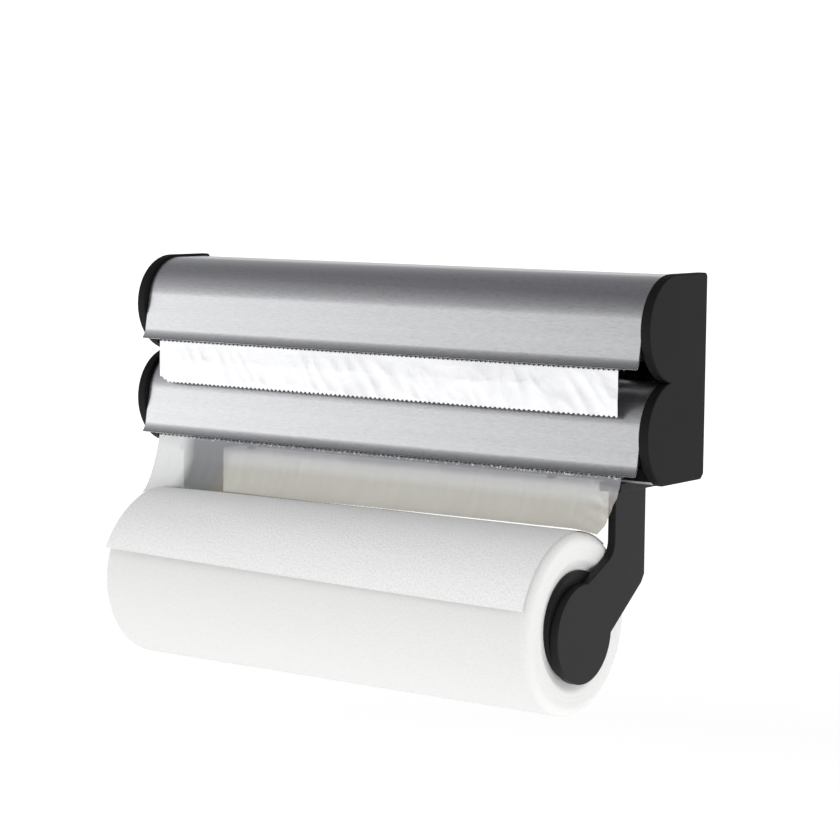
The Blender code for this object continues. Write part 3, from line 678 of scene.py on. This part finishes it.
def makeFilm():
    low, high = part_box("film_sheet")
    look = filmLook
    half = look["half"]
    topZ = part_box("lower_cutter_blade")[0].z + look["tooth"]
    bendY = low.y + look["solidSweep"]
    startY = bendY + look["lead"]
    startZ = high.z
    lead = math.hypot(startY - bendY, startZ - topZ)
    deepest = topZ - low.z + look["leftDrop"]
    rows, leadRows = look["rows"], look["leadRows"]
    columns = int(2 * half / look["pitch"]) * look["perTooth"] + 1
    points = np.zeros((rows, columns, 3))
    flats = np.zeros((rows, columns, 2))
    for c, x in enumerate(np.linspace(-half, half, columns)):
        end = max(0.0, (x - look["crumpleFrom"]) / (half - look["crumpleFrom"]))
        left = max(0.0, (half - x) / (2 * half)) ** 2
        hang = deepest - (look["leftDrop"] - look["drop"]) * (1 - left)
        sweep = between(look["sweep"], look["leftSweep"], left)
        past = max(0.0, (abs(x) - look["sagFrom"]) / (half - look["sagFrom"])) ** 1.5
        sag = look["cornerSag"] * past * (1.0 if x < 0 else look["rightSag"])
        reach = 1 - look["cut"] * saw(x, look["pitch"]) - look["lift"] * end ** 2
        for r in range(rows):
            if r < leadRows:
                share = r / leadRows
                y = between(startY, bendY, share)
                z = between(startZ, topZ, share)
                flat = lead * share
                free = 0.0
            else:
                share = (r - leadRows) / (rows - 1 - leadRows) * reach
                y = bendY - sweep * share ** look["sweepCurve"]
                z = topZ - hang * math.sin(share * math.pi / 2) - sag * share ** 2
                flat = lead + deepest * look["slack"] * share
                free = min(1.0, share * look["loosens"])
            crinkle = look["crinkle"] * filmCrinkle(x, z, end) * end
            y -= free * (look["pull"] * filmRipple(x, z) + crinkle)
            z += free * 0.4 * crinkle
            curledIn = look["curl"] * end ** 3 * share
            drawnIn = look["leftDraw"] * left ** 4 * share ** 2
            points[r, c] = (x + free * (drawnIn - curledIn), y, z)
            flats[r, c] = (x, flat)
    piece = addObject("filmSheet", netMesh("filmSheet", points, flats), "film")
    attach(piece, "housing")
    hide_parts("film_sheet")


makeFilm()
print("film hung")

# ---- kitchen roll ----
paper = {
    "rim": 0.0055,        # soft round edge of the ends
    "bulge": 0.0030,      # the loose turns stand out round the hubs
    "bulgeStart": 0.0315,
    "bulgeFull": 0.0375,
    "boreGap": 0.0003,    # off the tube
    "boreInset": 0.0006,
    "dent": 0.00022,
    "turnStep": 0.00018,  # the turns' edges stand a little uneven in the ends
    "seam": 100.0,        # where the pattern meets itself, under the last sheet
    "around": 200,
    "along": 70,
}


# half of the outline, from the bore out over one end to the rim, as x and distance from the axis
def rollEnd(half, bore, radius):
    rim, bulge = paper["rim"], paper["bulge"]
    line = [(-half + paper["boreInset"], bore), (-half + 0.0001, bore + 0.004)]
    for reach in np.linspace(bore + 0.006, radius - rim - 0.001, 22):
        share = (reach - paper["bulgeStart"]) / (paper["bulgeFull"] - paper["bulgeStart"])
        share = min(1.0, max(0.0, share))
        line.append((-half - bulge * share ** 2 * (3 - 2 * share), reach))
    for angle in np.linspace(0, math.pi / 2, 9):
        line.append((-half - bulge + rim - rim * math.cos(angle), radius - rim + rim * math.sin(angle)))
    return line


def makeRoll():
    low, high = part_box("paper_winding")
    tubeLow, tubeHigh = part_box("paper_tube")
    radius = (high.z - low.z) / 2
    bore = (tubeHigh.z - tubeLow.z) / 2 + paper["boreGap"]
    half = high.x
    centre = Vector((0, (low.y + high.y) / 2, (low.z + high.z) / 2))
    rim = paper["rim"]
    straight = half + paper["bulge"] - rim
    end = rollEnd(half, bore, radius)
    middle = [(x, radius) for x in np.linspace(-straight, straight, paper["along"])[1:-1]]
    line = end + middle + [(-x, reach) for x, reach in end[::-1]] + end[:1]
    start = math.radians(paper["seam"])
    turns = np.linspace(start, start + math.tau, paper["around"], endpoint=False)
    points = np.zeros((len(line), len(turns), 3))
    flats = np.zeros((len(line), len(turns), 2))
    run = 0.0
    for i, (x, reach) in enumerate(line):
        if i:
            run += math.hypot(x - line[i - 1][0], reach - line[i - 1][1])
        outward = max(0.0, (reach - bore) / (radius - bore))
        onEnd = outward if reach < radius - rim / 2 else 0.0
        for j, turn in enumerate(turns):
            dent = softNoise(x * 12, 2.2 * math.cos(turn), 2.2 * math.sin(turn))
            far = reach + paper["dent"] * outward * dent
            uneven = paper["turnStep"] * math.sin(reach * 5200 + 2 * turn) * onEnd
            points[i, j] = (x + math.copysign(uneven, x), centre.y - far * math.cos(turn),
                            centre.z + far * math.sin(turn))
            flats[i, j] = (run, (turn - start) * radius)
    piece = addObject("kitchenRoll", netMesh("kitchenRoll", points, flats, closed=True), "rollPaperPaintedDarker")
    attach(piece, "kitchen_roll")
    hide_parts("paper_winding")
    return centre, radius, half


# ---- the last sheet, loose on the roll ----
flapLook = {
    "start": 128.0,       # degrees round the roll, from level in front over the top
    "endLeft": 20.5,
    "endRight": 15.5,
    "off": 0.0004,
    "standLeft": 0.0034,  # how far its lower edge stands off
    "standRight": 0.0007,
    "standCurve": 2.6,
    "leftCurve": 1.25,    # how quickly it comes back to the roll towards the right
    "wave": 0.0004,
    "flick": 0.0006,      # of the very edge
    "rows": 110,
    "columns": 150,
}


def makeFlap(centre, radius, half):
    look = flapLook
    rows, columns = look["rows"], look["columns"]
    points = np.zeros((rows, columns, 3))
    flats = np.zeros((rows, columns, 2))
    for c, x in enumerate(np.linspace(-half, half, columns)):
        across = (x + half) / (2 * half)
        loose = (1 - across) ** look["leftCurve"]
        end = between(look["endRight"], look["endLeft"], loose)
        stand = between(look["standRight"], look["standLeft"], loose)
        run = 0.0
        before = None
        for r in range(rows):
            share = r / (rows - 1)
            angle = math.radians(between(look["start"], end, share))
            rise = stand * share ** look["standCurve"]
            wave = look["wave"] * softNoise(x * 22, share * 5, 4.0) * min(1.0, share * 3) * (0.4 + loose)
            reach = radius + look["off"] + rise + max(-rise * 0.5, wave) + look["flick"] * share ** 12
            point = Vector((x, centre.y - reach * math.cos(angle), centre.z + reach * math.sin(angle)))
            if before is not None:
                run += (point - before).length
            before = point
            points[r, c] = point
            flats[r, c] = (x, run)
    piece = addObject("paperFlap", netMesh("paperFlap", points, flats), "flapPaperPaintedLighter")
    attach(piece, "kitchen_roll")
    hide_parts("paper_flap")


makeFlap(*makeRoll())
print("kitchen roll made")

# ---- floor, sky and lamps ----
studio = {
    "floorZ": -0.42,
    "floorHalf": 12.0,
    "floorColour": (0.93, 0.93, 0.93),
    "floorGlow": 0.95,
    "nearFloor": (0.64, 0.64, 0.64),    # of that glow, under the object
    "farFloor": (1.0, 1.0, 1.0),
    "farFrom": (0.9, 0.6),              # metres away, and how steeply it changes
    "skyStrength": 1.03,
    "skyStops": (                       # from straight down at 0 to straight up at 1
        (0.00, (1.0, 1.0, 1.0)), (0.580, (1.0, 1.0, 1.0)), (0.607, (0.64, 0.64, 0.65)),
        (0.645, (0.46, 0.46, 0.47)), (0.719, (0.34, 0.34, 0.35)), (0.821, (0.23, 0.23, 0.24)),
        (0.905, (0.15, 0.15, 0.16)),
    ),
    "frontDim": 0.39,                   # the sky is dimmer in front of the covers
    "frontFrom": (0.0, -3.0),
    "sideGlow": 1.10,                   # and gets brighter again towards the left
    "sideFrom": (-0.50, -4.0),
    "aim": (0, -0.06, -0.05),
    "lamps": (
        # name, where it stands, width, height, watts
        ("frontLeft", (-1.3, -1.5, 0.30), 1.2, 1.0, 8.0),
        ("side", (1.7, -0.25, 0.0), 0.9, 0.9, 9.0),
        ("high", (0.1, -0.9, 1.5), 2.4, 1.6, 11.0),
    ),
}


def floorPaint(kit):
    away = kit.add("ShaderNodeVectorMath", {"operation": "LENGTH"}, {0: kit.place()}, 1)
    far = away.past(*studio["farFrom"])
    return {"Emission Color": kit.blendOf(far, studio["nearFloor"], studio["farFloor"])}


def makeFloor():
    mesh = bpy.data.meshes.new("floor")
    size = studio["floorHalf"]
    corners = [(-size, -size, 0), (size, -size, 0), (size, size, 0), (-size, size, 0)]
    mesh.from_pydata(corners, [], [(0, 1, 2, 3)])
    mesh.materials.append(makeFinish("floorPaint", {
        "Base Color": (*studio["floorColour"], 1),
        "Roughness": 0.9,
        "Specular IOR Level": 0.1,
        "Emission Strength": studio["floorGlow"],
    }, floorPaint))
    floor = bpy.data.objects.new("floor", mesh)
    floor.location.z = studio["floorZ"]
    bpy.context.scene.collection.objects.link(floor)


def makeSky():
    world = bpy.data.worlds.new("studio")
    world.use_nodes = True
    kit = NodeKit(world.node_tree)
    across, ahead, height = kit.axes(kit.add("ShaderNodeTexCoord", output="Generated"))
    sky = kit.add("ShaderNodeValToRGB", {"stops": studio["skyStops"]}, {0: height * 0.5 + 0.5})
    front = ahead.past(*studio["frontFrom"])
    side = across.past(*studio["sideFrom"])
    glow = (1 - front * studio["frontDim"]) + front * side * studio["sideGlow"]
    background = world.node_tree.nodes["Background"]
    world.node_tree.links.new(sky.socket, background.inputs["Color"])
    world.node_tree.links.new((glow * studio["skyStrength"]).socket, background.inputs["Strength"])
    bpy.context.scene.world = world


def makeLamps():
    aim = Vector(studio["aim"])
    for name, place, width, height, watts in studio["lamps"]:
        data = bpy.data.lights.new(name, "AREA")
        data.shape = "RECTANGLE"
        data.size = width
        data.size_y = height
        data.energy = watts
        lamp = bpy.data.objects.new(name, data)
        lamp.visible_glossy = False     # no lamp shows in the steel
        lamp.location = place
        lamp.rotation_euler = (aim - Vector(place)).to_track_quat("-Z", "Y").to_euler()
        bpy.context.scene.collection.objects.link(lamp)


makeFloor()
makeSky()
makeLamps()
bpy.context.scene.view_settings.view_transform = "Standard"
print("studio lit")
